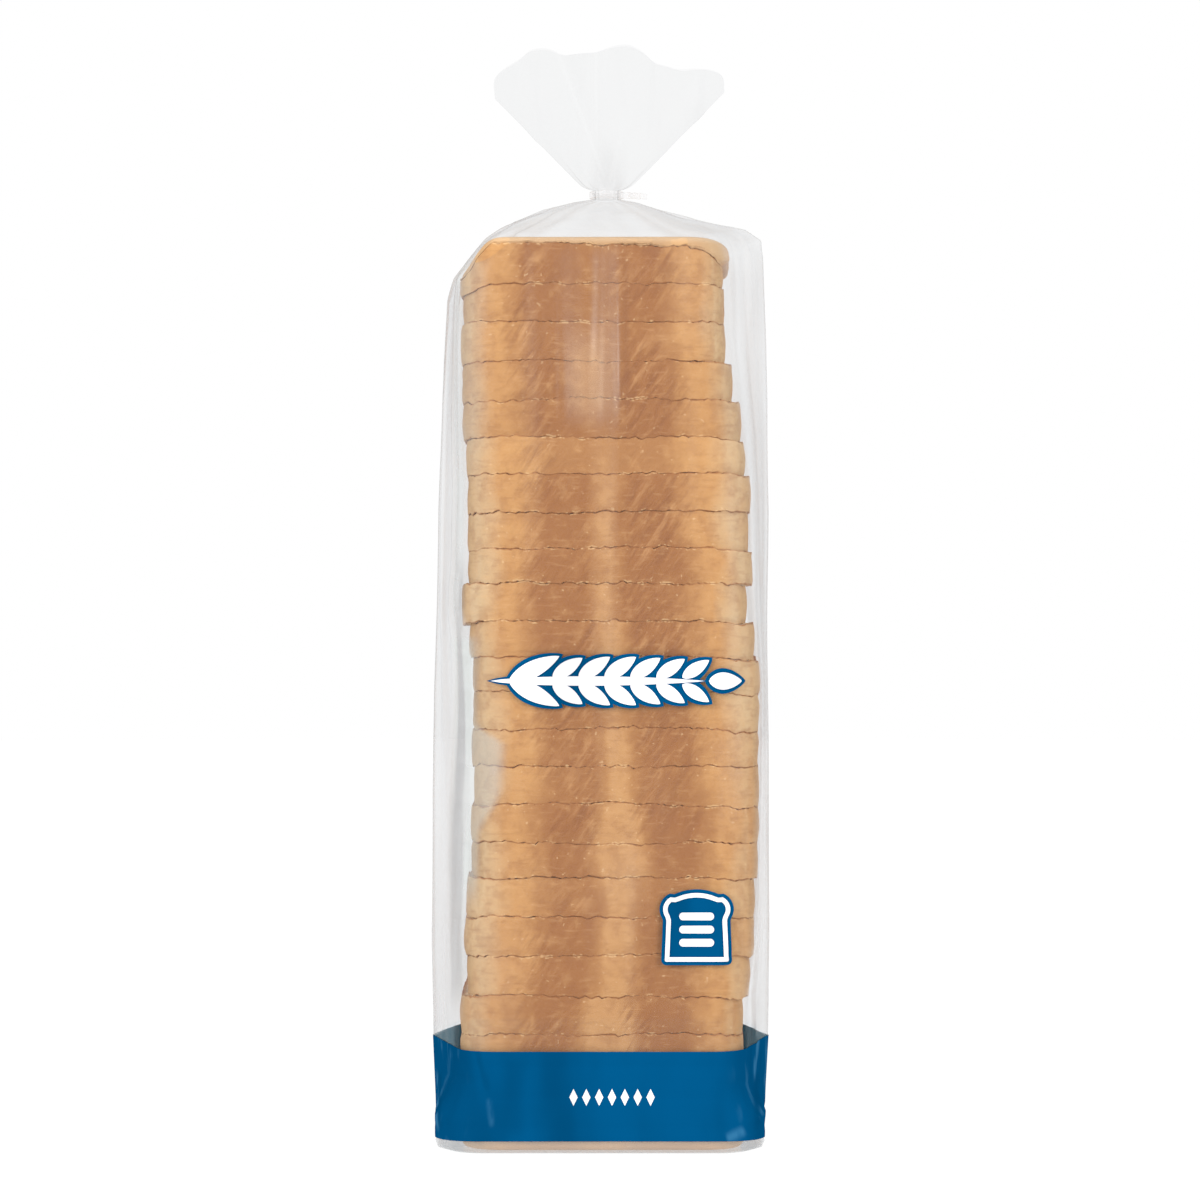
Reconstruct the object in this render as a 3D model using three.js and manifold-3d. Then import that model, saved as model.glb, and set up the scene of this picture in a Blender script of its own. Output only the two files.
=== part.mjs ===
// A long sliced sandwich loaf in a clear bag, standing on its end. Millimetres, +Z up, front towards -Y.
// The bag with its slices is one closed solid. The film lies on the front and back of the stack, where
// every cut shows as a groove, and stands off at both sides in a long fold. Above the top slice it draws
// in to a neck held by a strip tie, and the free end of the bag opens into a flat fan with a wavy rim.
import * as THREE from 'three';
import { mergeVertices } from 'three/addons/utils/BufferGeometryUtils.js';
import Module from 'manifold-3d';

// The stack of slices: a heel, three slices behind the printed band, and those seen up to the top heel
const LOAF_DEPTH = 104;
const LOAF_CORNER = 14;
const BOTTOM_CUT = 8.9;
const LOWEST_SEEN_CUT = 43.4;
const TOP_CUT = 326.2;
const SLICES_BEHIND_BAND = 3;
const SLICES_SEEN = 21;
const SLICE_SLIP = 0.5;
const CUT_DEPTH = 0.8;
const CUT_HALF_WIDTH = 1.3;
const CUT_SHARPNESS = 0.9;

// The bag round the stack
const FILM_GAP = 0.6;
const FILM_SLACK = 1.1;
const SIDE_FOLD = 63;
const SIDE_FOLD_RADIUS = 4;
const FOOT_ROUNDING = 6;
const FACE_DEPTH = LOAF_DEPTH / 2 + FILM_GAP;
const CLING_STARTS = 0.4;
const CLING_FULL = 0.75;

// The neck and the tie
const NECK_RADIUS = 4.6;
const NECK_SHIFT = 2.4;
const NECK_LOW = 347.4;
const NECK_HIGH = 350.9;
const NECK_PLEATS = 12;
const NECK_PLEAT_DEPTH = 0.35;
const SHOULDER_PLEAT_DEPTH = 1.6;
const SHOULDER_LOW = 322;
const PLEATS_START = 328;
const PLEATS_FULL = 343;
const ROUND_STARTS = 341;
const TIE_GAP = 0.45;
const TIE_THICKNESS = 0.9;
const TIE_WIDTH = 2.4;
const TAIL_WIDTH = 2.2;
const TAIL_THICKNESS = 0.7;

// The open end of the bag above the tie
const FAN_LEAN_WIDE = 0.707;
const FAN_LEAN_DEEP = 0.13;
const FAN_FLARE = 3;
const FAN_FLARE_SHARE = 0.02;
const FAN_FRONT_LOSS = 3;
const FAN_RUFFLE = 0.16;
const FAN_RUFFLES = 5;
const FAN_WALL = 1.2;
const FAN_FLOOR = 0.12;
const FLOOR_DIP = 4;
const FAN_SHARES = [0, 0.03, 0.08, 0.2, 0.36, 0.52, 0.68, 0.84, 1];

// The fan's length, taken in the plane of the front, from its left edge (-1) to its right edge (1)
const FAN_RIM = [
  [-1, 47], [-0.94, 53.2], [-0.88, 55], [-0.69, 55.7], [-0.59, 57.6], [-0.475, 56.4], [-0.365, 51.9],
  [-0.09, 51.4], [0.053, 53.7], [0.18, 54.6], [0.295, 53], [0.415, 49.7], [0.63, 50.1], [0.84, 55.7],
  [0.93, 56.3], [0.96, 54.1], [1, 50.5],
];

// Mesh density
const QUARTER = 12;
const COLUMNS = 4 * QUARTER;

// How far the film reaches at each height, [height, reach], from the photographed outline
const LEFT_REACH = [
  [0, 55], [1.2, 58.5], [3, 60.2], [5.5, 61], [37, 62.5], [75, SIDE_FOLD], [143, 62.5], [213, 61],
  [246, 60], [295, 57.7], [310, 56.6], [317.7, 54.3], [321.4, 51.7], [332.6, 42.8], [336.3, 37.2],
  [340, 28.8], [343.8, 20.3], [346.4, 10.5], [NECK_LOW, NECK_RADIUS - NECK_SHIFT],
];
const RIGHT_REACH = [
  [0, 55], [1.2, 58.5], [3, 60.2], [5.5, 61], [37, 62.6], [75, SIDE_FOLD], [213, 62.4], [295, 62],
  [326, 61.2], [332.6, 60], [336.3, 53.6], [340, 35], [343.8, 22], [346.4, 13.5],
  [NECK_LOW, NECK_RADIUS + NECK_SHIFT],
];
const FACE_REACH = [
  [0, 49.6], [1.2, 51.6], [3, 52.3], [5.5, FACE_DEPTH], [SHOULDER_LOW, FACE_DEPTH], [327, 51.6],
  [330.5, 48.5], [336, 36], [341, 23], [345, 12.5], [NECK_LOW, NECK_RADIUS],
];

// Half the stack's width at each height, and how far it sways to the right
const HALF_WIDTH = [[0, 51.4], [50, 51.4], [75, 52.4], [230, 51.4], [266, 50.2], [294, 47.7], [330, 47.5]];
const SWAY = [
  [0, 0.6], [50, 0.8], [89, 4.2], [130, 5.4], [168, 6], [199, 3.6], [240, 3], [266, 0.3], [294, -2.6],
  [330, -2.6],
];

// Half the flat of the front at the foot, where the film is folded, and how wide the face is at most where
// the top slices are rounded on the left
const FOOT_FLAT = [[0, 42], [1.2, 45], [3, 45.5], [12, 45.5], [40, 30]];
const LEFT_CHAMFER = [
  [300, 60], [314, 52.5], [318, 50.3], [321.5, 47.4], [325, 44.5], [328.8, 41.6], [332.4, 37.6],
  [336.3, 31.5],
];

const smooth = (low, high, x) => THREE.MathUtils.smoothstep(x, low, high);

// The value at a height, read off a list of [height, value] by straight lines and level past its ends.
function valueAt(list, z) {
  const last = list.length - 1;
  if (z <= list[0][0]) return list[0][1];
  if (z >= list[last][0]) return list[last][1];
  const k = list.findIndex(([height]) => height > z);
  const [z0, r0] = list[k - 1];
  const [z1, r1] = list[k];
  return THREE.MathUtils.lerp(r0, r1, (z - z0) / (z1 - z0));
}

// The height of every cut, from the foot up.
function cutHeights() {
  const hidden = Array.from({ length: SLICES_BEHIND_BAND }, (_, k) =>
    THREE.MathUtils.lerp(BOTTOM_CUT, LOWEST_SEEN_CUT, k / SLICES_BEHIND_BAND));
  const seen = Array.from({ length: SLICES_SEEN + 1 }, (_, k) =>
    THREE.MathUtils.lerp(LOWEST_SEEN_CUT, TOP_CUT, k / SLICES_SEEN));
  return [...hidden, ...seen];
}

const CUTS = cutHeights();

// A repeatable number from -1 to 1 for each slice.
function slip(index) {
  const wave = Math.sin(12.9898 * index + 78.233) * 43758.5453;
  return 2 * (wave - Math.floor(wave)) - 1;
}

// Evenly spaced points along a polyline, both ends included.
function respace(points, count) {
  const path = new THREE.CurvePath();
  for (let k = 1; k < points.length; k++) {
    if (points[k].distanceTo(points[k - 1]) > 1e-6) path.add(new THREE.LineCurve(points[k - 1], points[k]));
  }
  return Array.from({ length: count + 1 }, (_, k) => path.getPointAt(k / count));
}

// A quarter of the bag's cross-section, from the middle of a face (0, depth) to the side fold (reach, 0):
// a flat, the arc round the loaf's corner, and film pulled straight to the fold, which is a small arc.
function quarterOutline(reach, depth, flat, corner, fold) {
  const cornerCentre = new THREE.Vector2(flat, depth - corner);
  const foldCentre = new THREE.Vector2(reach - fold, 0);
  const between = foldCentre.clone().sub(cornerCentre);
  const spread = THREE.MathUtils.clamp((corner - fold) / between.length(), -1, 1);
  const leave = THREE.MathUtils.clamp(between.angle() - 2 * Math.PI + Math.acos(spread), 0, Math.PI / 2);
  const onArc = (centre, radius, angle) =>
    new THREE.Vector2(centre.x + radius * Math.cos(angle), centre.y + radius * Math.sin(angle));
  const points = [new THREE.Vector2(0, depth)];
  for (let k = 0; k <= 8; k++) {
    points.push(onArc(cornerCentre, corner, THREE.MathUtils.lerp(Math.PI / 2, leave, k / 8)));
  }
  for (let k = 0; k <= 4; k++) points.push(onArc(foldCentre, fold, leave * (1 - k / 4)));
  return respace(points, QUARTER);
}

// Half the flat of the front on one side (1 right, -1 left): the stack's less its corner, or the foot's.
function flatAt(z, side) {
  const stack = valueAt(HALF_WIDTH, z) - LOAF_CORNER + side * valueAt(SWAY, z) + FILM_SLACK;
  return Math.max(stack, valueAt(FOOT_FLAT, z));
}

// One ring of the body and shoulders at height z, counterclockwise from the middle of the front.
function bodyRing(z) {
  const centre = NECK_SHIFT * smooth(SHOULDER_LOW, NECK_LOW, z);
  const depth = valueAt(FACE_REACH, z);
  const scale = depth / FACE_DEPTH;
  const drawn = z > SHOULDER_LOW ? scale : 1;
  const corner = Math.min(LOAF_CORNER * scale, depth - 0.2);
  const fold = SIDE_FOLD_RADIUS * scale;
  const rightReach = valueAt(RIGHT_REACH, z) - centre;
  const leftReach = valueAt(LEFT_REACH, z) + centre;
  const rightFlat = flatAt(z, 1) * drawn;
  const leftFlat = Math.min(flatAt(z, -1) * drawn, valueAt(LEFT_CHAMFER, z) - corner);
  const right = quarterOutline(rightReach, depth, rightFlat, corner, fold);
  const left = quarterOutline(leftReach, depth, leftFlat, corner, fold);
  const roundness = smooth(ROUND_STARTS, NECK_LOW, z);
  const pleat = SHOULDER_PLEAT_DEPTH * smooth(PLEATS_START, PLEATS_FULL, z) * (1 - roundness);
  const neckPleat = NECK_PLEAT_DEPTH * roundness;
  const cut = cutDepth(z);
  const slice = CUTS.filter((height) => height < z).length;
  const shift = z < SHOULDER_LOW && z > FOOT_ROUNDING ? SLICE_SLIP * slip(slice) : 0;
  return Array.from({ length: COLUMNS }, (_, column) => {
    const angle = (2 * Math.PI * column) / COLUMNS - Math.PI / 2;
    const quarter = Math.floor(column / QUARTER);
    const step = column % QUARTER;
    const flatPoint = [right[step], right[QUARTER - step], left[step], left[QUARTER - step]][quarter];
    const side = quarter < 2 ? 1 : -1;
    const face = quarter === 0 || quarter === 3 ? -1 : 1;
    const cling = smooth(CLING_STARTS, CLING_FULL, flatPoint.y / depth);
    const wave = Math.cos(NECK_PLEATS * angle);
    const reach = (quarter < 2 ? rightReach : leftReach) + neckPleat * wave;
    const inward = 1 - (cut * cling) / depth + (pleat * wave) / Math.max(depth, 10);
    const round = (depth + neckPleat * wave) * Math.sin(angle);
    const x = THREE.MathUtils.lerp(side * flatPoint.x * inward, reach * Math.cos(angle), roundness);
    const y = THREE.MathUtils.lerp(face * flatPoint.y * inward, round, roundness);
    return new THREE.Vector3(centre + x, y + shift * cling, z);
  });
}

// How deep the film dips at height z: a narrow notch at each cut between two slices.
function cutDepth(z) {
  const away = Math.min(...CUTS.map((height) => Math.abs(z - height)));
  return CUT_DEPTH * Math.exp(-((away / CUT_SHARPNESS) ** 2));
}

// One ring of the fan. share runs from 0 at the neck to 1 at the rim, and inset moves the ring inwards.
// Every column runs straight out, and the front ones are a little shorter than those at the back.
function fanRing(share, inset) {
  return Array.from({ length: COLUMNS }, (_, column) => {
    const angle = (2 * Math.PI * column) / COLUMNS - Math.PI / 2;
    const across = Math.cos(angle);
    const ahead = Math.sin(angle);
    const flare = FAN_FLARE * (1 - Math.exp(-share / FAN_FLARE_SHARE));
    const length = valueAt(FAN_RIM, across) + 0.5 * FAN_FRONT_LOSS * share * ahead * Math.abs(ahead);
    const ruffle = 1 + FAN_RUFFLE * share * Math.cos(FAN_RUFFLES * angle + 0.6);
    const neck = NECK_RADIUS - inset + NECK_PLEAT_DEPTH * (1 - share) * Math.cos(NECK_PLEATS * angle);
    const run = share * length;
    return new THREE.Vector3(
      NECK_SHIFT + across * (neck + flare + run * FAN_LEAN_WIDE),
      ahead * (neck + Math.abs(ahead) * run * FAN_LEAN_DEEP * ruffle),
      NECK_HIGH + run * Math.sqrt(1 - (FAN_LEAN_WIDE * across) ** 2),
    );
  });
}

// A closed surface through rings of equal length, capped by a point at each end.
function skin(rings, first, last) {
  const points = [first, ...rings.flat(), last];
  const at = (row, column) => 1 + row * COLUMNS + (column % COLUMNS);
  const faces = [];
  for (let column = 0; column < COLUMNS; column++) {
    faces.push(0, at(0, column + 1), at(0, column));
    for (let row = 1; row < rings.length; row++) {
      faces.push(at(row - 1, column), at(row - 1, column + 1), at(row, column + 1));
      faces.push(at(row - 1, column), at(row, column + 1), at(row, column));
    }
    faces.push(at(rings.length - 1, column), at(rings.length - 1, column + 1), points.length - 1);
  }
  const geometry = new THREE.BufferGeometry().setFromPoints(points);
  geometry.setIndex(faces);
  geometry.computeVertexNormals();
  return geometry;
}

// The bag with its loaf: base, stack, shoulders, neck, and the fan up its outside and down its inside.
function bagGeometry() {
  const heights = [0, 1.2, 3, 5.5];
  for (const z of CUTS.filter((height) => height < SHOULDER_LOW)) {
    heights.push(z - CUT_HALF_WIDTH, z, z + CUT_HALF_WIDTH);
  }
  heights.push(318, SHOULDER_LOW, 325, 327.5, 330.5, 333, 336.3, 339, 341.5, 344, 346, NECK_LOW);
  const rings = heights.map(bodyRing);
  for (const share of FAN_SHARES) rings.push(fanRing(share, 0));
  const inside = [...FAN_SHARES].reverse();
  for (const share of inside) rings.push(fanRing(FAN_FLOOR + (1 - FAN_FLOOR) * share, FAN_WALL));
  const base = new THREE.Vector3(0, 0, 0);
  const floor = new THREE.Vector3(NECK_SHIFT, 0, NECK_HIGH + FLOOR_DIP);
  return skin(rings, base, floor);
}

// A closed three.js geometry as a solid for joining.
function solidOf(wasm, geometry) {
  const plain = geometry.clone();
  plain.deleteAttribute('normal');
  plain.deleteAttribute('uv');
  const merged = mergeVertices(plain, 1e-3);
  return new wasm.Manifold(new wasm.Mesh({
    numProp: 3,
    vertProperties: new Float32Array(merged.attributes.position.array),
    triVerts: new Uint32Array(merged.index.array),
  }));
}

// A joined solid back as a three.js geometry.
function geometryOf(solid) {
  const mesh = solid.getMesh();
  const geometry = new THREE.BufferGeometry();
  geometry.setAttribute('position', new THREE.BufferAttribute(new Float32Array(mesh.vertProperties), 3));
  geometry.setIndex(Array.from(mesh.triVerts));
  geometry.computeVertexNormals();
  return geometry;
}

// The band of the tie round the neck: a ring of rectangular section.
function tieBand() {
  const inner = NECK_RADIUS + NECK_PLEAT_DEPTH + TIE_GAP;
  const outer = inner + TIE_THICKNESS;
  const half = TIE_WIDTH / 2;
  const profile = [[inner, -half], [outer, -half], [outer, half], [inner, half], [inner, -half]];
  const band = new THREE.LatheGeometry(profile.map(([r, h]) => new THREE.Vector2(r, h)), 40);
  band.rotateX(Math.PI / 2);
  band.translate(NECK_SHIFT, 0, (NECK_LOW + NECK_HIGH) / 2);
  return band;
}

// One tail of the tie: a flat strip from inside the band, out past the neck and down over the shoulder.
function tieTail(lean, drop, reach) {
  const root = NECK_RADIUS + NECK_PLEAT_DEPTH + TIE_GAP + TIE_THICKNESS / 2;
  const start = new THREE.Vector3(NECK_SHIFT + root, 0, (NECK_LOW + NECK_HIGH) / 2);
  const points = [0, 0.3, 0.65, 1].map((share) => new THREE.Vector3(
    start.x + reach * share,
    start.y - lean * share ** 1.5,
    start.z - drop * share ** 2,
  ));
  const half = TAIL_WIDTH / 2;
  const section = new THREE.Shape([
    new THREE.Vector2(-half, -TAIL_THICKNESS / 2),
    new THREE.Vector2(half, -TAIL_THICKNESS / 2),
    new THREE.Vector2(half, TAIL_THICKNESS / 2),
    new THREE.Vector2(-half, TAIL_THICKNESS / 2),
  ]);
  return new THREE.ExtrudeGeometry(section, { steps: 12, extrudePath: new THREE.CatmullRomCurve3(points) });
}

const wasm = await Module();
wasm.setup();

const filmAndBread = new THREE.MeshStandardMaterial({ color: 0xcf9c68, roughness: 0.35, metalness: 0 });
const clearTie = new THREE.MeshStandardMaterial({ color: 0xeceff0, roughness: 0.3, metalness: 0 });

const bag = new THREE.Mesh(bagGeometry(), filmAndBread);
bag.name = 'bag';

const shortTail = tieTail(0.6, 0.5, 7);
const longTail = tieTail(6.5, 1.2, 9);
const tieSolid = [shortTail, longTail]
  .map((tail) => solidOf(wasm, tail))
  .reduce((whole, tail) => whole.add(tail), solidOf(wasm, tieBand()));
const tie = new THREE.Mesh(geometryOf(tieSolid), clearTie);
tie.name = 'tie';

const pack = new THREE.Group();
pack.add(bag, tie);

export default pack;
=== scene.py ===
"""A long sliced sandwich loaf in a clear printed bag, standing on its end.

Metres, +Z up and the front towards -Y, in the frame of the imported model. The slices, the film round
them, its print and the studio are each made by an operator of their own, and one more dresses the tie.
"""

import bpy
import numpy as np
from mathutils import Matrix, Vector


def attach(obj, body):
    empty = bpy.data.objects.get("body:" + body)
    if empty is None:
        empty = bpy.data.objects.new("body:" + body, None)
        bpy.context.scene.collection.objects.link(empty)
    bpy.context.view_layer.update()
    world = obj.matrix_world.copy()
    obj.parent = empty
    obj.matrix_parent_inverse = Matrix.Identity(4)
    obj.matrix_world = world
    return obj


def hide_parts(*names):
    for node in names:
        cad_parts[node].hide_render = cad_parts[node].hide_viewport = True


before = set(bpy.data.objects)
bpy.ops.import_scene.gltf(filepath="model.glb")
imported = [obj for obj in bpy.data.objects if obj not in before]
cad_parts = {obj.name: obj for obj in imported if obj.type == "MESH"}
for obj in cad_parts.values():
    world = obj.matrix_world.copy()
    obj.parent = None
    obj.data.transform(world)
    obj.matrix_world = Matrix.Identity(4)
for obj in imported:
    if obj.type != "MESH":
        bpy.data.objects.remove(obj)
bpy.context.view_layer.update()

bl_info = {
    "name": "Bagged sandwich loaf",
    "version": (1, 0, 0),
    "blender": (4, 5, 0),
    "location": "View3D > Sidebar > Loaf",
    "description": "Builds a sliced loaf in a clear printed bag whose tied neck opens into a fan",
    "category": "Object",
}

# The stack of slices: half its width at each height, and how far it sways to one side
LOAF_HALF_WIDTH = (
    (0.0, 0.0514), (0.050, 0.0514), (0.075, 0.0524), (0.230, 0.0514), (0.266, 0.0502), (0.294, 0.0477),
    (0.330, 0.0475),
)
LOAF_SWAY = (
    (0.0, 0.0006), (0.050, 0.0008), (0.089, 0.0042), (0.130, 0.0054), (0.168, 0.0060), (0.199, 0.0036),
    (0.240, 0.0030), (0.266, 0.0003), (0.294, -0.0026), (0.330, -0.0026),
)
LOAF_HALF_DEPTH = 0.0509
LOAF_CORNER = 0.014
LOAF_FOOT = 0.001
LOAF_TOP = 0.3292

# How much wider the film's face is than the loaf, and how near the crust comes to it
FILM_SLACK = 0.0011
FILM_GAP = 0.0005

# The cuts, and the slices that differ from the others
CUT_SEED = 26
BOTTOM_CUT = 0.0089
LOWEST_SEEN_CUT = 0.0434
TOP_CUT = 0.3262
SLICES_SEEN = 21
SLICES_BEHIND_BAND = 3
SLUMP = 0.0014
CUT_SPREAD = 0.00025
CUT_GAP = 0.00001
SLICE_PUSHED_LEFT = 15
LEFT_PUSH = 0.0016
PALE_SLICE = 19

# How round the edges are at a cut and at both heels, and how the top heel departs from a plain slice
CUT_EDGE = 0.0005
HEEL_EDGE = 0.0024
TOP_EDGE = 0.0040
TOP_LOBE = 0.0034
HEEL_SLOPE = 0.0016
HEEL_STEP = 0.0044
RIGHT_DROOP = 0.0015
LEFT_ROUNDING = 0.0115
CORNER_SAG = 0.0011

# How far slices differ at random, in half their width, in degrees of turn and in baking
WIDTH_SPREAD = 0.00025
TURN_SPREAD = 0.35
BAKE_SPREAD = 0.42

# Ripples as amplitude, wavelength and first seed: of a cut, of its ragged edge, and of a slice's crust
CUT_WAVES = ((0.00034, 0.07, 300), (0.00012, 0.016, 400))
CUT_RAGGED = ((0.00020, 0.0050, 500), (0.00018, 0.0024, 700))
FACE_RAGGED = (0.00004, 0.0035, 900)
CRUST_LUMPS = ((0.00018, 0.026, 40), (0.00008, 0.009, 70))
CRUST_SWELL = 0.00035

# Painted shadow of a soft upright crease, laid on the crust of the top slices: its two ends, and half its
# width
CREASE_SHADOW = ((0.0088, 0.3230), (0.0098, 0.2620), 0.0020)

# The film's outline: how far it reaches at each height, to the left, the right and the front
LEFT_REACH = (
    (0.0, 0.055), (0.0012, 0.0585), (0.003, 0.0602), (0.0055, 0.061), (0.037, 0.0625), (0.075, 0.063),
    (0.143, 0.0625), (0.213, 0.061), (0.246, 0.060), (0.295, 0.0577), (0.310, 0.0566), (0.3177, 0.0543),
    (0.3214, 0.0517), (0.3326, 0.0428), (0.3363, 0.0372), (0.340, 0.0288), (0.3438, 0.0203),
    (0.3464, 0.0105), (0.3474, 0.0022),
)
RIGHT_REACH = (
    (0.0, 0.0545), (0.0012, 0.0570), (0.003, 0.0586), (0.0055, 0.0598), (0.012, 0.0612), (0.037, 0.0626),
    (0.075, 0.063), (0.213, 0.0624), (0.295, 0.062), (0.326, 0.0612), (0.3326, 0.060), (0.3363, 0.0536),
    (0.340, 0.035), (0.3438, 0.022), (0.3464, 0.0135), (0.3474, 0.007),
)
FACE_REACH = (
    (0.0, 0.0496), (0.0012, 0.0516), (0.003, 0.0523), (0.0055, 0.0526), (0.322, 0.0526), (0.327, 0.0516),
    (0.3305, 0.0485), (0.336, 0.036), (0.341, 0.023), (0.345, 0.0125), (0.3474, 0.0046),
)
FOOT_FLAT = ((0.0, 0.042), (0.0012, 0.045), (0.003, 0.0455), (0.012, 0.0455), (0.040, 0.030))
LEFT_CHAMFER = (
    (0.300, 0.060), (0.314, 0.0525), (0.318, 0.0503), (0.3215, 0.0474), (0.325, 0.0445), (0.3288, 0.0416),
    (0.3324, 0.0376), (0.3363, 0.0315),
)
FACE_DEPTH = 0.0526
SIDE_FOLD_RADIUS = 0.004
SHOULDER_LOW = 0.322
ROUND_STARTS = 0.341
NECK_LOW = 0.3474
NECK_HIGH = 0.3509
NECK_RADIUS = 0.0046
NECK_SHIFT = 0.0024

# Relief of the film: pleats of the shoulders and the neck, dips where it clings at the cuts, fan creases
SHOULDER_PLEAT = 0.0012
NECK_PLEAT = 0.0004
CLING_DIP = 0.00025
CLING_WIDTH = 0.0012
FAN_CREASE = 0.0003

# Cosines as size, count and phase: the pleats round the neck, and the fan's ruffles
PLEATS = ((1.0, 12, 0.0), (0.6, 17, 1.0), (0.5, 7, 2.0))
RUFFLES = ((0.16, 5, 0.6), (0.07, 11, 2.0))

# The fan above the tie
FAN_RIM = (
    (-1.0, 0.0470), (-0.94, 0.0532), (-0.88, 0.0550), (-0.69, 0.0557), (-0.59, 0.0576), (-0.475, 0.0564),
    (-0.365, 0.0519), (-0.09, 0.0514), (0.053, 0.0537), (0.18, 0.0546), (0.295, 0.0530), (0.415, 0.0497),
    (0.63, 0.0501), (0.84, 0.0557), (0.93, 0.0563), (0.96, 0.0541), (1.0, 0.0505),
)
FAN_LEAN_WIDE = 0.707
FAN_FLARE = 0.003
FAN_FLARE_SHARE = 0.02
FAN_LEAN_DEEP = 0.13
FAN_FRONT_LOSS = 0.0030

# Print, laid just outside the film
PRINT_LIFT = 0.00022
LAYER_LIFT = 0.00014
MOTIF_CENTRE = (0.005, 0.1696)
BADGE_CENTRE = (0.0346, 0.0814)

# The row of diamonds in the band: the middle of the row, how many, how far apart, and half a diamond
ROW_CENTRE = (0.0043, 0.0205)
DIAMONDS = 7
DIAMOND_PITCH = 0.0046
DIAMOND_HALF = (0.0015, 0.0030)

# The ear of wheat, from its left end. Sizes are length and width, and angles are in radians
STALK_START, STALK_SHARE, STALK_WIDTH = 0.0015, 0.84, 0.0034
LEAF_START, LEAF_ANGLE, LEAF_SIZE = 0.008, 0.46, (0.0200, 0.0060)
GRAIN_PAIRS, GRAIN_START, GRAIN_PITCH = 6, 0.0235, 0.0093
GRAIN_ANGLE, GRAIN_SIZE, GRAIN_OFFSET = 0.58, (0.0138, 0.0055), 0.0012
TIP_START, TIP_WIDTH = 0.0795, 0.0062
EAR_OUTLINE = 0.0015
BLADE_LIFT = 0.000012

# The badge: insets of its white line, its bars, and how far apart and how low they lie
LINE_INSETS = (0.0029, 0.0021, 0.0013)
BAR_SIZE = (0.0125, 0.0028)
BAR_PITCH = 0.0047
BAR_DROP = 0.0008

# Painted light and shade of the band's creases: the two ends, half the width, and how strong a painted
# highlight or, below 0, a painted shade
BAND_CREASE_LIGHT_AND_SHADE = (
    ((-0.0441, 0.0374), (-0.0401, 0.0227), 0.0018, -0.6),
    ((-0.0395, 0.0200), (-0.0385, 0.0100), 0.0016, 0.16),
    ((-0.0597, 0.0245), (-0.0572, 0.0085), 0.0014, -0.8),
    ((-0.0606, 0.0240), (-0.0584, 0.0080), 0.0011, 0.40),
    ((0.0570, 0.0250), (0.0567, 0.0090), 0.0024, -0.9),
    ((0.0586, 0.0400), (0.0556, 0.0220), 0.0013, 0.40),
    ((0.0568, 0.0050), (0.0572, 0.0125), 0.0010, 0.25),
    ((0.0455, 0.0056), (0.0520, 0.0085), 0.0030, 0.35),
    ((-0.0300, 0.0340), (-0.0310, 0.0060), 0.0060, -0.5),
)

# Mesh density: columns round a quarter of the film and round a slice, rows over each edge of a slice and
# up its side, rings of its cut faces, and rows of the film at its foot, up its body, shoulders and fan
QUARTER_COLUMNS = 72
CRUST_COLUMNS = 320
EDGE_ROWS = 7
SIDE_ROWS = 7
CAP_SCALES = np.array([0.25, 0.6, 0.85, 0.95])
FOOT_SCALES = np.array([0.3, 0.6, 0.85, 0.95])
FOOT_HEIGHTS = (0.0, 0.0004, 0.0012, 0.002, 0.003, 0.0042, 0.0055)
BODY_START = 0.007
BODY_STEP = 0.0017
SHOULDER_STEP = 0.0009
FAN_ROWS = 56

# The camera stands level with the middle of the pack. Lens and sensor are in millimetres
CAMERA_DISTANCE = 1.4
CAMERA_HEIGHT = 0.1986
CAMERA_LENS = 112.86
SENSOR_WIDTH = 36.0

# The floor just under the foot, and the lamps: place, width, height and power, all facing one target
FLOOR_HEIGHT = -0.0004
FLOOR_RADIUS = 4.0
FLOOR_COLUMNS = 64
FLOOR_RINGS = 6
LAMP_TARGET = (0.0, 0.0, 0.19)
SOFTBOXES = {
    "left_softbox": ((-1.1, -1.3, 0.75), 0.8, 1.1, 18.0),
    "right_softbox": ((1.2, -1.2, 0.65), 0.7, 1.1, 14.0),
    "top_softbox": ((0.0, -0.3, 1.5), 1.0, 0.8, 4.0),
}


def srgb(red, green, blue):
    """A colour given as 0 to 255 on screen, as the linear colour that shaders take."""
    screen = np.array([red, green, blue]) / 255
    linear = np.where(screen <= 0.04045, screen / 12.92, ((screen + 0.055) / 1.055) ** 2.4)
    return (*linear.tolist(), 1.0)


def smooth(low, high, x):
    """0 below low and 1 above high, with 3t^2 - 2t^3 between them."""
    t = np.clip((x - low) / (high - low), 0, 1)
    return t * t * (3 - 2 * t)


def profile(pairs, z):
    """The value at height z, on straight lines through pairs of height and value."""
    heights, values = np.transpose(pairs)
    return np.interp(z, heights, values)


def ripple(points, wavelength, seed, waves=12, stretch=(1, 1, 1)):
    """Smooth noise of about unit size: the sum of sine waves of like length in random directions.

    A stretch over 1 makes the pattern longer along that axis.
    """
    draw = np.random.default_rng(seed)
    directions = draw.normal(size=(waves, 3))
    directions /= np.linalg.norm(directions, axis=1, keepdims=True)
    lengths = wavelength * draw.uniform(0.7, 1.4, waves)
    phases = draw.uniform(0, 2 * np.pi, waves)
    turns = (points / np.array(stretch)) @ (directions / lengths[:, None]).T
    return np.sin(2 * np.pi * turns + phases).sum(-1) * np.sqrt(2 / waves)


def ripples(points, waves, number):
    """The sum of ripples given as amplitude, wavelength and first seed, for the slice or cut of a number."""
    return sum(size * ripple(points, length, seed + number) for size, length, seed in waves)


def cosines(angle, waves):
    """The sum of cosines given as size, count round the circle and phase."""
    return sum(size * np.cos(count * angle + phase) for size, count, phase in waves)


def circle(angles):
    """Points of the unit circle at these angles, (n, 2)."""
    return np.stack([np.cos(angles), np.sin(angles)], -1)


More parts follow.
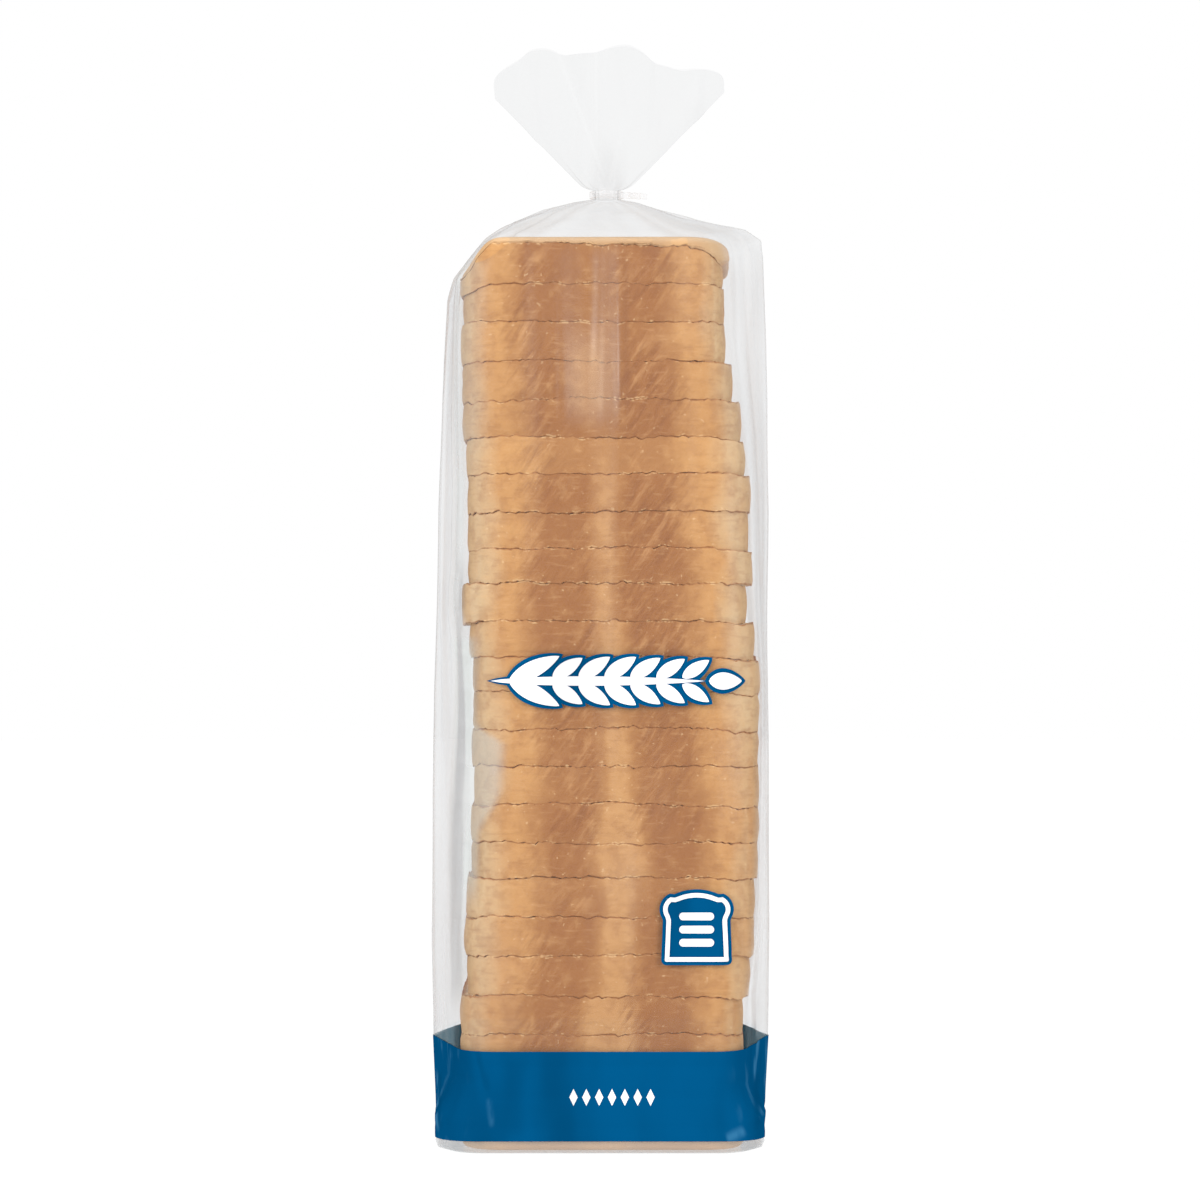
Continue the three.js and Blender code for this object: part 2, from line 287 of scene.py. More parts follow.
def respace(points, count):
    """count + 1 points evenly spaced along a polyline."""
    steps = np.hypot(*np.diff(points, axis=0).T)
    along = np.concatenate([[0], np.cumsum(steps)])
    even = np.linspace(0, along[-1], count + 1)
    return np.stack([np.interp(even, along, points[:, axis]) for axis in range(2)], -1)


def outward(grid):
    """Unit normals of a grid whose columns close on themselves: the cross product of its two tangents."""
    along_columns = np.roll(grid, -1, axis=1) - np.roll(grid, 1, axis=1)
    along_rows = np.gradient(grid, axis=0)
    normal = np.cross(along_columns, along_rows)
    return normal / np.maximum(np.linalg.norm(normal, axis=-1, keepdims=True), 1e-12)


def grid_faces(rows, columns, wrap):
    """Quads between neighbours of a grid of points, as four point numbers each."""
    numbers = np.arange(rows * columns).reshape(rows, columns)
    if wrap:
        numbers = np.concatenate([numbers, numbers[:, :1]], axis=1)
    corners = numbers[:-1, :-1], numbers[:-1, 1:], numbers[1:, 1:], numbers[1:, :-1]
    return np.stack(corners, -1).reshape(-1, 4)


def make_piece(name, grids, material, replaces, wrap=True, first=None, last=None, values=None):
    """Makes a piece from grids of points, (rows, columns, 3), joined into one mesh.

    first and last close the first grid's ends with a point. values are named numbers, one for each
    point of the grids, kept as attributes for the material.
    """
    grids = [grids] if isinstance(grids, np.ndarray) else grids
    points, faces, start = [], [], 0
    for grid in grids:
        rows, columns = grid.shape[:2]
        points.append(grid.reshape(-1, 3))
        faces += (grid_faces(rows, columns, wrap) + start).tolist()
        start += rows * columns
    rows, columns = grids[0].shape[:2]
    ring = np.arange(columns)
    after = np.roll(ring, -1)
    for end, offset in ((first, 0), (last, (rows - 1) * columns)):
        if end is None:
            continue
        points.append(np.array([end]))
        pair = (after, ring) if offset == 0 else (ring, after)
        pole = np.full(columns, start)
        faces += np.stack([pole, pair[0] + offset, pair[1] + offset], -1).tolist()
        start += 1
    mesh = bpy.data.meshes.new(name)
    mesh.from_pydata(np.concatenate(points).tolist(), [], faces)
    mesh.shade_smooth()
    for key, numbers in (values or {}).items():
        padded = np.zeros(start)
        padded[:numbers.size] = numbers.ravel()
        attribute = mesh.attributes.new(key, "FLOAT", "POINT")
        attribute.data.foreach_set("value", padded)
    mesh.materials.append(material)
    piece = bpy.data.objects.new(name, mesh)
    bpy.context.scene.collection.objects.link(piece)
    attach(piece, "root")
    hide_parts(replaces)


class Wire:
    """A shader socket that takes part in sums. Each sum adds a Math node."""

    def __init__(self, paint, socket):
        self.paint = paint
        self.socket = socket

    def math(self, operation, *values):
        return self.paint.node("ShaderNodeMath", {"operation": operation}, dict(enumerate(values)))

    def __add__(self, other):
        return self.math("ADD", self, other)

    def __radd__(self, other):
        return self.math("ADD", other, self)

    def __sub__(self, other):
        return self.math("SUBTRACT", self, other)

    def __rsub__(self, other):
        return self.math("SUBTRACT", other, self)

    def __mul__(self, other):
        return self.math("MULTIPLY", self, other)

    def __rmul__(self, other):
        return self.math("MULTIPLY", other, self)

    def __truediv__(self, other):
        return self.math("DIVIDE", self, other)

    def __pow__(self, other):
        return self.math("POWER", self, other)

    def __abs__(self):
        return self.math("ABSOLUTE", self)

    def between(self, low, high):
        """0 below low, 1 above high and a smooth step between them."""
        settings = {"interpolation_type": "SMOOTHSTEP", "clamp": True}
        inputs = {"Value": self, "From Min": low, "From Max": high}
        return self.paint.node("ShaderNodeMapRange", settings, inputs)

    def below(self, low, high):
        """1 below low, 0 above high and a smooth step between them."""
        return 1 - self.between(low, high)

    def span(self, low, risen, falling, high):
        """1 from risen to falling, with smooth steps down to 0 at low and at high."""
        return self.between(low, risen) * self.below(falling, high)

    def at_least(self, other):
        return self.math("MAXIMUM", self, other)

    def at_most(self, other):
        return self.math("MINIMUM", self, other)


class Paint:
    """A material's nodes while they are put together."""

    def __init__(self, name):
        self.material = bpy.data.materials.new(name)
        self.material.use_nodes = True
        self.tree = self.material.node_tree
        self.tree.nodes.clear()

    def node(self, kind, settings=None, inputs=None, output=0):
        """Adds a node, sets it up, fills its sockets with values or wires, and returns one output."""
        made = self.tree.nodes.new(kind)
        for key, value in (settings or {}).items():
            if key == "stops":
                self.fill_ramp(made.color_ramp, value)
            else:
                setattr(made, key, value)
        for key, value in (inputs or {}).items():
            if isinstance(value, Wire):
                self.tree.links.new(value.socket, made.inputs[key])
            else:
                made.inputs[key].default_value = value
        return Wire(self, made.outputs[output])

    @staticmethod
    def fill_ramp(ramp, stops):
        while len(ramp.elements) < len(stops):
            ramp.elements.new(1.0)
        for element, (place, colour) in zip(ramp.elements, stops):
            element.position = place
            element.color = colour

    def place(self):
        return self.node("ShaderNodeTexCoord", output="Object")

    def stretched(self, scale):
        """The place on the piece, scaled along each axis."""
        return self.node("ShaderNodeMapping", None, {"Vector": self.place(), "Scale": scale})

    def axes(self, vector):
        split = self.tree.nodes.new("ShaderNodeSeparateXYZ")
        self.tree.links.new(vector.socket, split.inputs[0])
        return [Wire(self, socket) for socket in split.outputs]

    def value(self, name):
        """A number that the mesh carries for each of its points."""
        return self.node("ShaderNodeAttribute", {"attribute_name": name}, output="Fac")

    def noise(self, vector, scale, detail=2.0, roughness=0.5):
        inputs = {"Vector": vector, "Scale": scale, "Detail": detail, "Roughness": roughness}
        return self.node("ShaderNodeTexNoise", None, inputs)

    def blend(self, factor, first, second):
        """The two colours mixed by factor."""
        settings = {"data_type": "RGBA"}
        return self.node("ShaderNodeMix", settings, {0: factor, 6: first, 7: second}, output=2)

    def coats(self, base, coats):
        """The base colour under coats laid on in order, each a factor and a colour."""
        for factor, colour in coats:
            base = self.blend(factor, base, colour)
        return base

    def bump(self, height, distance, strength=1.0):
        inputs = {"Height": height, "Distance": distance, "Strength": strength}
        return self.node("ShaderNodeBump", None, inputs)

    def line(self, x, z, start, end, half_width):
        """1 on the straight line between two ends, fading to 0 at half_width beside it and at the ends."""
        run_x, run_z = end[0] - start[0], end[1] - start[1]
        length = float(np.hypot(run_x, run_z))
        beside = (x - start[0]) * (run_z / length) - (z - start[1]) * (run_x / length)
        along = (x - start[0]) * (run_x / length ** 2) + (z - start[1]) * (run_z / length ** 2)
        ends = along.between(-0.1, 0.15) * (1 - along.between(0.85, 1.1))
        return (1 - abs(beside).between(0.0, half_width)) * ends

    def surface(self, **inputs):
        """A Principled shader, its sockets named with spaces as underscores."""
        named = {key.replace("_", " "): value for key, value in inputs.items()}
        return self.node("ShaderNodeBsdfPrincipled", None, named)

    def see_through(self, factor, tint, body):
        """The finished material: clear with a tint, and the body shader over it by factor."""
        clear = self.node("ShaderNodeBsdfTransparent", None, {"Color": tint})
        return self.finish(self.node("ShaderNodeMixShader", None, {0: factor, 1: clear, 2: body}))

    def finish(self, shader):
        output = self.tree.nodes.new("ShaderNodeOutputMaterial")
        self.tree.links.new(shader.socket, output.inputs["Surface"])
        return self.material


class LoafSettings(bpy.types.PropertyGroup):
    """The bread inside the bag."""
    crust_pale: bpy.props.FloatVectorProperty(
        name="Corner crust", description="Crust at the loaf's four corners", subtype="COLOR", size=4,
        default=srgb(200, 169, 129))
    crust_gold: bpy.props.FloatVectorProperty(
        name="Golden crust", description="Crust between the corners and the browned zones", subtype="COLOR",
        size=4, default=srgb(190, 140, 87))
    crust_brown: bpy.props.FloatVectorProperty(
        name="Browned crust", description="The darkest crust on each face", subtype="COLOR", size=4,
        default=srgb(154, 102, 58))
    crust_middle: bpy.props.FloatVectorProperty(
        name="Middle line", description="The lighter line down the middle of each face", subtype="COLOR",
        size=4, default=srgb(179, 129, 79))
    crumb: bpy.props.FloatVectorProperty(
        name="Crumb", description="The bread inside the crust", subtype="COLOR", size=4,
        default=srgb(240, 226, 196))
    unevenness: bpy.props.FloatProperty(
        name="Unevenness", description="How far slices lie out of line", unit="LENGTH", default=0.0004,
        min=0.0, max=0.001)


class FilmSettings(bpy.types.PropertyGroup):
    """The clear film of the bag."""
    haze: bpy.props.FloatProperty(
        name="Haze", description="Share of the light that flat film scatters", subtype="FACTOR",
        default=0.025, min=0.0, max=1.0)
    gloss: bpy.props.FloatProperty(
        name="Gloss", description="Share of the light that the film mirrors at a full slant",
        default=0.90, min=0.0, max=1.0)
    side_folds: bpy.props.FloatProperty(
        name="Side folds", description="Depth of the long folds down both sides", unit="LENGTH",
        default=0.0004, min=0.0, max=0.003)
    crinkle: bpy.props.FloatProperty(
        name="Crinkle", description="Depth of the small creases all over", unit="LENGTH", default=0.00009,
        min=0.0, max=0.001)


class PrintSettings(bpy.types.PropertyGroup):
    """What is printed on the film."""
    blue: bpy.props.FloatVectorProperty(
        name="Blue", description="Ink of the band, the badge and the outlines", subtype="COLOR", size=4,
        default=srgb(1, 76, 121))
    white: bpy.props.FloatVectorProperty(
        name="White", description="Ink of the light shapes", subtype="COLOR", size=4,
        default=srgb(240, 241, 244))
    band_low: bpy.props.FloatProperty(
        name="Band foot", description="Height of the band's lower edge", unit="LENGTH", default=0.0047)
    band_high: bpy.props.FloatProperty(
        name="Band top", description="Height of the band's upper edge", unit="LENGTH", default=0.0368)
    motif_width: bpy.props.FloatProperty(
        name="Ear width", description="Width of the ear of wheat", unit="LENGTH", default=0.091)


def cut_heights():
    """The height of every cut, from the foot up: even steps with a slow sine and a small random part."""
    draw = np.random.default_rng(CUT_SEED)
    steps = np.arange(SLICES_SEEN + 1)
    seen = np.linspace(LOWEST_SEEN_CUT, TOP_CUT, SLICES_SEEN + 1)
    seen = seen + SLUMP * np.sin(2 * np.pi * steps / SLICES_SEEN) + draw.normal(0, CUT_SPREAD, steps.size)
    hidden = np.linspace(BOTTOM_CUT, seen[0], SLICES_BEHIND_BAND + 1)
    return np.concatenate([hidden[:-1], seen])


CUTS = cut_heights()


def droop(x, z):
    """How far bread sinks at x and z: the top slices hang at the right and are rounded at the left."""
    right = RIGHT_DROOP * smooth(0.036, 0.0505, x) * smooth(0.292, 0.329, z)
    left = LEFT_ROUNDING * smooth(0.031, 0.0505, -x) ** 2.6 * smooth(0.302, 0.329, z)
    return right + left


def cut_surface(number, x, y, side):
    """The height of a cut at x and y: a slow wave, a sag at the corners and a ragged edge of its own.

    The cut under the top heel runs lower at the right. side tells the two faces of a cut apart.
    """
    place = np.stack([x, y, np.full_like(x, 0.05 * number)], -1)
    sag = CORNER_SAG * smooth(0.038, 0.054, np.abs(x)) * (1 + 0.5 * np.sin(2.4 * number))
    thick_heel = HEEL_SLOPE * smooth(0.010, 0.046, x) + HEEL_STEP * smooth(0.035, 0.047, x)
    thick_heel = thick_heel * (number == len(CUTS) - 1)
    ragged = ripples(place, CUT_RAGGED, number) + ripples(place, (FACE_RAGGED,), 2 * number + side)
    return CUTS[number] + ripples(place, CUT_WAVES, number) - sag - thick_heel + ragged


def rounded_square(half_x, half_y, corner, count):
    """Points evenly spaced round a rounded square, counterclockwise from the middle of the front."""
    turn = np.linspace(0, np.pi / 2, 16)
    corners = []
    for quarter, (sign_x, sign_y) in enumerate(((1, -1), (1, 1), (-1, 1), (-1, -1))):
        centre = np.array([sign_x * (half_x - corner), sign_y * (half_y - corner)])
        corners.append(centre + corner * circle(turn + (quarter - 1) * np.pi / 2))
    outline = np.vstack([[(0, -half_y)], *corners, [(0, -half_y)]])
    return respace(outline, count)[:-1]


def cut_sharpness(outline, number):
    """How round the edges at a cut are round the loaf, from 0.3 to 1.2 of the usual radius."""
    place = np.concatenate([outline, np.zeros((len(outline), 1))], -1)
    return np.clip(0.7 + 0.4 * ripple(place, 0.016, 800 + number), 0.3, 1.2)


def outline_normals(outline):
    """Unit normals of a closed outline, square to the run between each point's neighbours."""
    run = np.roll(outline, -1, axis=0) - np.roll(outline, 1, axis=0)
    normal = np.stack([run[:, 1], -run[:, 0]], -1)
    return normal / np.linalg.norm(normal, axis=1, keepdims=True)


def edge_sizes(number, outline):
    """The radius of a slice's lower and upper edge round its outline. The top seam is faint at the left."""
    faint = 0.25 + 0.75 * smooth(-0.025, 0.020, outline[:, 0])
    low = CUT_EDGE * cut_sharpness(outline, number - 1) * (faint if number == len(CUTS) else 1)
    high = CUT_EDGE * cut_sharpness(outline, number) * (faint if number == len(CUTS) - 1 else 1)
    return HEEL_EDGE if number == 0 else low, TOP_EDGE if number == len(CUTS) else high


def slice_rows():
    """For each row of a slice: its scale, its inset and lift at the lower edge, and its share of the height.

    The rows run from the middle of the lower cut face round a quarter circle, up the crust, round another
    quarter circle and to the middle of the upper face. Read from the end, inset and lift serve that edge.
    """
    arc = np.linspace(0, np.pi / 2, EDGE_ROWS)
    side = np.linspace(0, 1, SIDE_ROWS + 2)[1:-1]
    cap, edge = np.zeros(CAP_SCALES.size), np.zeros(EDGE_ROWS)
    scale = np.concatenate([CAP_SCALES, np.ones(2 * EDGE_ROWS + SIDE_ROWS), CAP_SCALES[::-1]])
    inset = np.concatenate([1 + cap, 1 - np.sin(arc), 0 * side, edge, cap])
    lift = np.concatenate([cap, 1 - np.cos(arc), 1 - side, edge, cap])
    share = np.concatenate([cap, edge, side, 1 + edge, 1 + cap])
    return scale, inset, lift, share


def slice_values(number, outline, scale, from_cut, bake):
    """The numbers that a slice's mesh carries for its crust, one for each of its points.

    They are the millimetres across from the middle of a face and from the nearer cut, how far the crust is
    turned to the side, how well it is baked, 1 all over a heel, and 1 on a cut face that shows crumb.
    """
    normal = np.abs(outline_normals(outline))
    across = np.where(normal[:, 0] < normal[:, 1], np.abs(outline[:, 0]), np.abs(outline[:, 1]))
    bottom, top = number == 0, number == len(CUTS)
    whole = np.ones_like(from_cut)
    crumb = (scale < 1)[:, None] * whole
    end_rows = CAP_SCALES.size + EDGE_ROWS
    if bottom:
        crumb[:end_rows] = 0
    if top:
        crumb[-end_rows:] = 0
    return {
        "across": 1000 * across * np.where(scale < 1, 0.5, 1)[:, None],
        "crumb": crumb,
        "from_cut": 1000 * from_cut,
        "bake": bake * whole,
        "heel": (bottom or top) * whole,
        "turned": normal[:, 0] * whole,
    }


def slice_grid(number, unevenness):
    """One slice between two cuts: a lower cut face, a rounded edge, the crust, an edge and the upper face.

    Each row is the loaf's outline drawn in by an amount and lifted from one cut to the next. The crust
    swells a little between its edges, and the whole slice is shifted and turned by a small random part.
    The edges at a cut are sharper in places. The top heel's edge is round and swells out at the right, and
    its seam fades out towards the left.
    """
    draw = np.random.default_rng(100 + number)
    bottom, top = number == 0, number == len(CUTS)
    height = 0.5 * ((LOAF_FOOT if bottom else CUTS[number - 1]) + (LOAF_TOP if top else CUTS[number]))
    half_x = profile(LOAF_HALF_WIDTH, height) + draw.normal(0, WIDTH_SPREAD)
    outline = rounded_square(half_x, LOAF_HALF_DEPTH, LOAF_CORNER, CRUST_COLUMNS)
    turn = np.radians(draw.normal(0, TURN_SPREAD))
    outline = outline @ np.array([[np.cos(turn), np.sin(turn)], [-np.sin(turn), np.cos(turn)]])
    normal = outline_normals(outline)
    low_edge, high_edge = edge_sizes(number, outline)
    scale, inset, lift, share = slice_rows()

    middle = profile(LOAF_SWAY, height) - LEFT_PUSH * (number == SLICE_PUSHED_LEFT)
    slide = np.array([middle + unevenness * draw.normal(), 0.4 * unevenness * draw.normal()])
    drawn_in = inset[:, None] * low_edge + inset[::-1, None] * high_edge
    flat = (outline - drawn_in[..., None] * normal) * scale[:, None, None] + slide
    x, y = flat[..., 0], flat[..., 1]
    low = np.full_like(x, LOAF_FOOT) if bottom else cut_surface(number - 1, x, y, 1) + CUT_GAP
    high = np.full_like(x, LOAF_TOP) if top else cut_surface(number, x, y, 0) - CUT_GAP
    shares = share[:, None] * np.ones_like(x)
    lifted = lift[:, None] * low_edge - lift[::-1, None] * np.minimum(high_edge, 0.8 * (high - low))
    z = low * (1 - shares) + high * shares + lifted
    grid = np.stack([x, y, z], -1)

    swell = CRUST_SWELL * (1 - (2 * shares - 1) ** 2)
    lumps = ripples(grid, CRUST_LUMPS, number) * smooth(0, 0.15, shares) * smooth(0, 0.15, 1 - shares)
    push = (scale == 1)[:, None] * (swell + lumps)
    grid[..., :2] += push[..., None] * normal
    room = profile(LOAF_HALF_WIDTH, height) + FILM_SLACK - FILM_GAP
    from_middle = grid[..., 0] - middle
    grid[..., 0] = middle + from_middle * min(1, room / np.abs(from_middle).max())
    if top:
        lobe = smooth(0.030, 0.046, x) * (1 - smooth(0.034, 0.047, np.abs(y))) * smooth(-0.1, 0.6, shares)
        grid[..., 0] += TOP_LOBE * lobe
    grid[..., 2] -= droop(grid[..., 0], grid[..., 2])

    bake = draw.normal(0, BAKE_SPREAD) + 1 - smooth(0.042, 0.085, height) - 1.2 * (number == PALE_SLICE)
    return grid, slice_values(number, outline, scale, np.minimum(z - low, high - z), bake)


def quarter(reach, depth, flat, corner, fold, count):
    """A quarter of the film's section, evenly spaced, from the middle of a face to the side fold.

    It is a straight run, an arc round the loaf's corner, the straight line that touches both arcs, and a
    small arc at the fold.
    """
    corner_centre = np.array([flat, depth - corner])
    fold_centre = np.array([reach - fold, 0.0])
    between = fold_centre - corner_centre
    spread = np.clip((corner - fold) / np.hypot(*between), -1, 1)
    leave = np.clip(np.arctan2(between[1], between[0]) + np.arccos(spread), 0, np.pi / 2)
    round_corner = corner_centre + corner * circle(np.linspace(np.pi / 2, leave, 24))
    round_fold = fold_centre + fold * circle(np.linspace(leave, 0, 8))
    return respace(np.vstack([[(0, depth)], round_corner, round_fold]), count)


def side_sizes(z, right):
    """The film's reach to one side at height z, and half the flat of its face on that side."""
    reach = profile(RIGHT_REACH if right else LEFT_REACH, z)
    sway = profile(LOAF_SWAY, z) * (1 if right else -1)
    flat = profile(LOAF_HALF_WIDTH, z) - LOAF_CORNER + sway + FILM_SLACK
    if not right:
        pushed = 0.5 * (CUTS[SLICE_PUSHED_LEFT - 1] + CUTS[SLICE_PUSHED_LEFT])
        flat = flat + LEFT_PUSH * np.exp(-(((z - pushed) / 0.010) ** 4))
    return reach, np.maximum(flat, profile(FOOT_FLAT, z))


def pleats(angle):
    """Uneven pleats round the neck: three cosines of different counts, of about unit size."""
    return cosines(angle, PLEATS) / 1.5


def body_ring(z):
    """The film's outline at height z, counterclockwise from the middle of the front, (columns, 3)."""
    centre = NECK_SHIFT * smooth(SHOULDER_LOW, NECK_LOW, z)
    depth = profile(FACE_REACH, z)
    shrink = depth / FACE_DEPTH
    drawn = shrink if z > SHOULDER_LOW else 1.0
    corner = min(LOAF_CORNER * shrink, depth - 0.0002)
    fold = SIDE_FOLD_RADIUS * shrink
    quarters, reaches = [], []
    for right in (True, False):
        reach, flat = side_sizes(z, right)
        reach = reach - centre if right else reach + centre
        widest = np.inf if right else profile(LEFT_CHAMFER, z) - corner
        quarters.append(quarter(reach, depth, min(flat * drawn, widest), corner, fold, QUARTER_COLUMNS))
        reaches.append(reach)
    right_side, left_side = quarters
    x = np.concatenate([
        right_side[:-1, 0], right_side[:0:-1, 0], -left_side[:-1, 0], -left_side[:0:-1, 0]])
    y = np.concatenate([
        -right_side[:-1, 1], right_side[:0:-1, 1], left_side[:-1, 1], -left_side[:0:-1, 1]])
    angle = np.linspace(0, 2 * np.pi, x.size, endpoint=False) - np.pi / 2
    roundness = smooth(ROUND_STARTS, NECK_LOW, z)
    pleat = SHOULDER_PLEAT * smooth(0.326, 0.343, z) * (1 - roundness) * pleats(angle)
    neck_pleat = NECK_PLEAT * roundness * pleats(angle)
    reach = np.where(np.cos(angle) > 0, *reaches) + neck_pleat
    x = x * (1 + pleat / max(depth, 0.01))
    y = y * (1 + pleat / max(depth, 0.01))
    x = x + roundness * (reach * np.cos(angle) - x)
    y = y + roundness * ((depth + neck_pleat) * np.sin(angle) - y)
    return np.stack([centre + x, y, np.full_like(x, z)], -1)


def film_relief(points):
    """How far the film stands out from its drawn outline at these points.

    It dips a little at each cut where it clings, has long upright folds at the sides, and sharp small
    creases where a ripple passes zero.
    """
    y, z = points[..., 1], points[..., 2]
    cling = smooth(0.4, 0.8, np.abs(y) / FACE_DEPTH)
    body = smooth(0.002, 0.012, z) * (1 - smooth(0.325, 0.345, z))
    settings = bpy.context.scene.loaf_film
    to_cut = np.abs(z[..., None] - CUTS).min(-1)
    dips = -CLING_DIP * cling * np.exp(-((to_cut / CLING_WIDTH) ** 2))
    pulls = np.abs(ripple(points, 0.030, 7, stretch=(1, 1, 16)))
    folds = settings.side_folds * (1 - cling) * (1 - 2 * np.minimum(pulls, 1))
    creases = settings.crinkle * (1 - 2 * np.abs(ripple(points, 0.030, 8, stretch=(1, 1, 2.2))))
    return body * (dips + folds) + smooth(0.002, 0.012, z) * creases * (0.35 + 0.65 * (1 - cling))


def film_body(heights):
    """The film's wall at these heights with its folds and creases, (rows, columns, 3)."""
    grid = np.stack([body_ring(z) for z in heights])
    return grid + film_relief(grid)[..., None] * outward(grid)


def film_front(x, z, lift):
    """Points on the film's front at x and z, a little outside it by lift.

    The section is flat, then the arc round the loaf's corner, then the straight line to the fold.
    """
    depth = profile(FACE_REACH, z)
    away = np.abs(x)
    sizes = [side_sizes(z, right) for right in (True, False)]
    reach = np.where(x > 0, sizes[0][0], sizes[1][0])
    flat = np.where(x > 0, sizes[0][1], sizes[1][1])
    corner, fold = LOAF_CORNER, SIDE_FOLD_RADIUS
    run_x, run_y = reach - fold - flat, corner - depth
    leave = np.arctan2(run_y, run_x) + np.arccos((corner - fold) / np.hypot(run_x, run_y))
    touch_x = flat + corner * np.cos(leave)
    touch_y = depth - corner + corner * np.sin(leave)
    on_arc = depth - corner + np.sqrt(np.maximum(corner ** 2 - np.maximum(away - flat, 0) ** 2, 0))
    on_line = touch_y - (away - touch_x) / np.tan(leave)
    y = -np.where(away < flat, depth, np.where(away < touch_x, on_arc, on_line))
    points = np.stack([x, y, z], -1)
    lean = np.clip((away - flat) / corner, 0, 1)
    normal = np.stack([np.sign(x) * lean, -np.sqrt(1 - lean ** 2), np.zeros_like(x)], -1)
    return points + (film_relief(points) + lift)[..., None] * normal


def fan_grid(rows):
    """The film above the tie, opening from the neck to a wavy rim, (rows, columns, 3).

    Each column runs straight out of the neck. It leans to the side by a share of the cosine of its angle,
    and its length, taken in the plane of the front, follows the rim from one side of the fan to the other.
    """
    angle = np.linspace(0, 2 * np.pi, 4 * QUARTER_COLUMNS, endpoint=False)[None] - np.pi / 2
    share = np.linspace(0, 1, rows)[:, None]
    across = np.cos(angle)
    nearby = np.array([-0.03, 0.0, 0.03])[:, None, None]
    length = profile(FAN_RIM, across + nearby).mean(0)
    ahead = np.sin(angle)
    length = length + 0.5 * FAN_FRONT_LOSS * share * ahead * np.abs(ahead)
    ruffle = 1 + share * cosines(angle, RUFFLES)
    neck = NECK_RADIUS + NECK_PLEAT * (1 - share) * pleats(angle)
    flare = FAN_FLARE * (1 - np.exp(-share / FAN_FLARE_SHARE))
    reach = share * length
    grid = np.stack([
        NECK_SHIFT + across * (neck + flare + reach * FAN_LEAN_WIDE),
        ahead * (neck + np.abs(ahead) * reach * FAN_LEAN_DEEP * ruffle),
        NECK_HIGH + reach * np.sqrt(1 - (FAN_LEAN_WIDE * across) ** 2)], -1)
    creases = FAN_CREASE * (1 - 2 * np.minimum(np.abs(ripple(grid, 0.030, 12, stretch=(1, 1, 2.5))), 1))
    push = outward(grid)
    push[..., 0] *= 0.4
    return grid + (share * creases)[..., None] * push


def crust_zones(paint, settings, drift):
    """Colour by the distance from the middle of a face: a lighter line, brown, gold, and pale corners."""
    place = paint.place()
    x, _, z = paint.axes(place)
    blotch = paint.noise(place, 48.0, 3.0)
    zone = paint.value("across") + (blotch - 0.5) * 12.0 + (drift - 0.5) * 9.0 - paint.value("bake") * 2.0
    zone = zone - x.between(0.0, 0.01) * z.below(0.13, 0.17) * 5.0
    high = z.between(0.225, 0.265)
    stops = [
        (0.0, settings.crust_middle), (0.04, settings.crust_middle), (0.16, settings.crust_brown),
        (0.44, settings.crust_brown), (0.64, settings.crust_gold), (0.72, settings.crust_gold),
        (0.92, settings.crust_pale)]
    base = paint.node("ShaderNodeValToRGB", {"stops": stops}, {"Fac": zone / 52.0})
    return paint.coats(base, (
        (high * zone.below(4.0, 10.0) * 0.75, settings.crust_brown),
        (zone.below(0.0, 4.5) * (1 - high) * 0.4, srgb(204, 158, 108))))


def slanting_wrinkles(paint, base):
    """The colour with slanting wrinkles and scratches in its browned zones, and the wrinkles' height."""
    place = paint.place()
    x, y, z = paint.axes(place)
    over = (x + y) * 0.82 - z * 0.57
    along = (x + y) * 0.57 + z * 0.82
    slant = paint.node("ShaderNodeCombineXYZ", None, {"X": over, "Y": along * 0.14, "Z": (x - y) * 0.2})
    wrinkle = paint.noise(slant, 300.0, 3.0, 0.55)
    scratch = paint.noise(slant, 850.0, 2.0, 0.5)
    patches = paint.noise(place, 36.0, 2.0).between(0.38, 0.62)
    strength = paint.value("across").span(3.0, 10.0, 24.0, 38.0) * (patches * 0.8 + 0.2)
    base = paint.coats(base, (
        (wrinkle.below(0.34, 0.50) * strength * 0.55, srgb(130, 80, 46)),
        (wrinkle.between(0.55, 0.67) * strength * 0.40, srgb(198, 150, 102)),
        (scratch.below(0.36, 0.46) * strength * 0.35, srgb(130, 80, 46)),
        (scratch.between(0.57, 0.69) * strength * 0.22, srgb(204, 154, 106))))
    return base, wrinkle * strength


def crust_grain(paint, base, mottle):
    """The colour with pale specks, mottling, level strokes and how well the slice is baked."""
    speck = paint.noise(paint.place(), 560.0, 1.0)
    stroke = paint.noise(paint.stretched((0.3, 0.3, 1.5)), 520.0, 2.0)
    bake = paint.value("bake")
    return paint.coats(base, (
        (speck.between(0.72, 0.77) * 0.38, srgb(224, 190, 146)),
        (mottle.below(0.34, 0.56) * 0.28, srgb(144, 92, 54)),
        (mottle.between(0.54, 0.74) * 0.22, srgb(208, 162, 110)),
        (stroke.below(0.33, 0.45) * 0.16, srgb(136, 86, 50)),
        (stroke.between(0.57, 0.69) * 0.15, srgb(214, 170, 122)),
        (bake.between(0.0, 2.0) * 0.22, srgb(124, 76, 42)),
        (bake.below(-2.0, 0.0) * 0.30, srgb(210, 160, 102))))


def crust_at_cuts(paint, base, fine):
    """The colour with a torn pale rim at each cut, and painted shade in the seam between slices: soft brown
    patches and a brown line in the groove.
    """
    place = paint.place()
    x, _, z = paint.axes(place)
    from_cut = paint.value("from_cut")
    broken = paint.noise(place, 150.0, 3.0, 0.6)
    faint_top = z.between(0.316, 0.323) * x.below(-0.02, 0.02) * 0.8
    uncut = (1 - paint.value("crumb")) * (1 - faint_top)
    return paint.coats(base, (
        (from_cut.below(0.2, 0.9) * (broken + fine).between(1.06, 1.22) * 0.6, srgb(222, 186, 138)),
        # Painted shade: broken brown patches and a brown line at each cut, where shade falls in the seam
        # between slices
        (from_cut.below(0.1, 0.55) * broken.below(0.42, 0.62) * uncut * 0.7, srgb(150, 100, 60)),
        (from_cut.below(0.0, 0.20) * uncut * 0.9, srgb(168, 112, 66))))


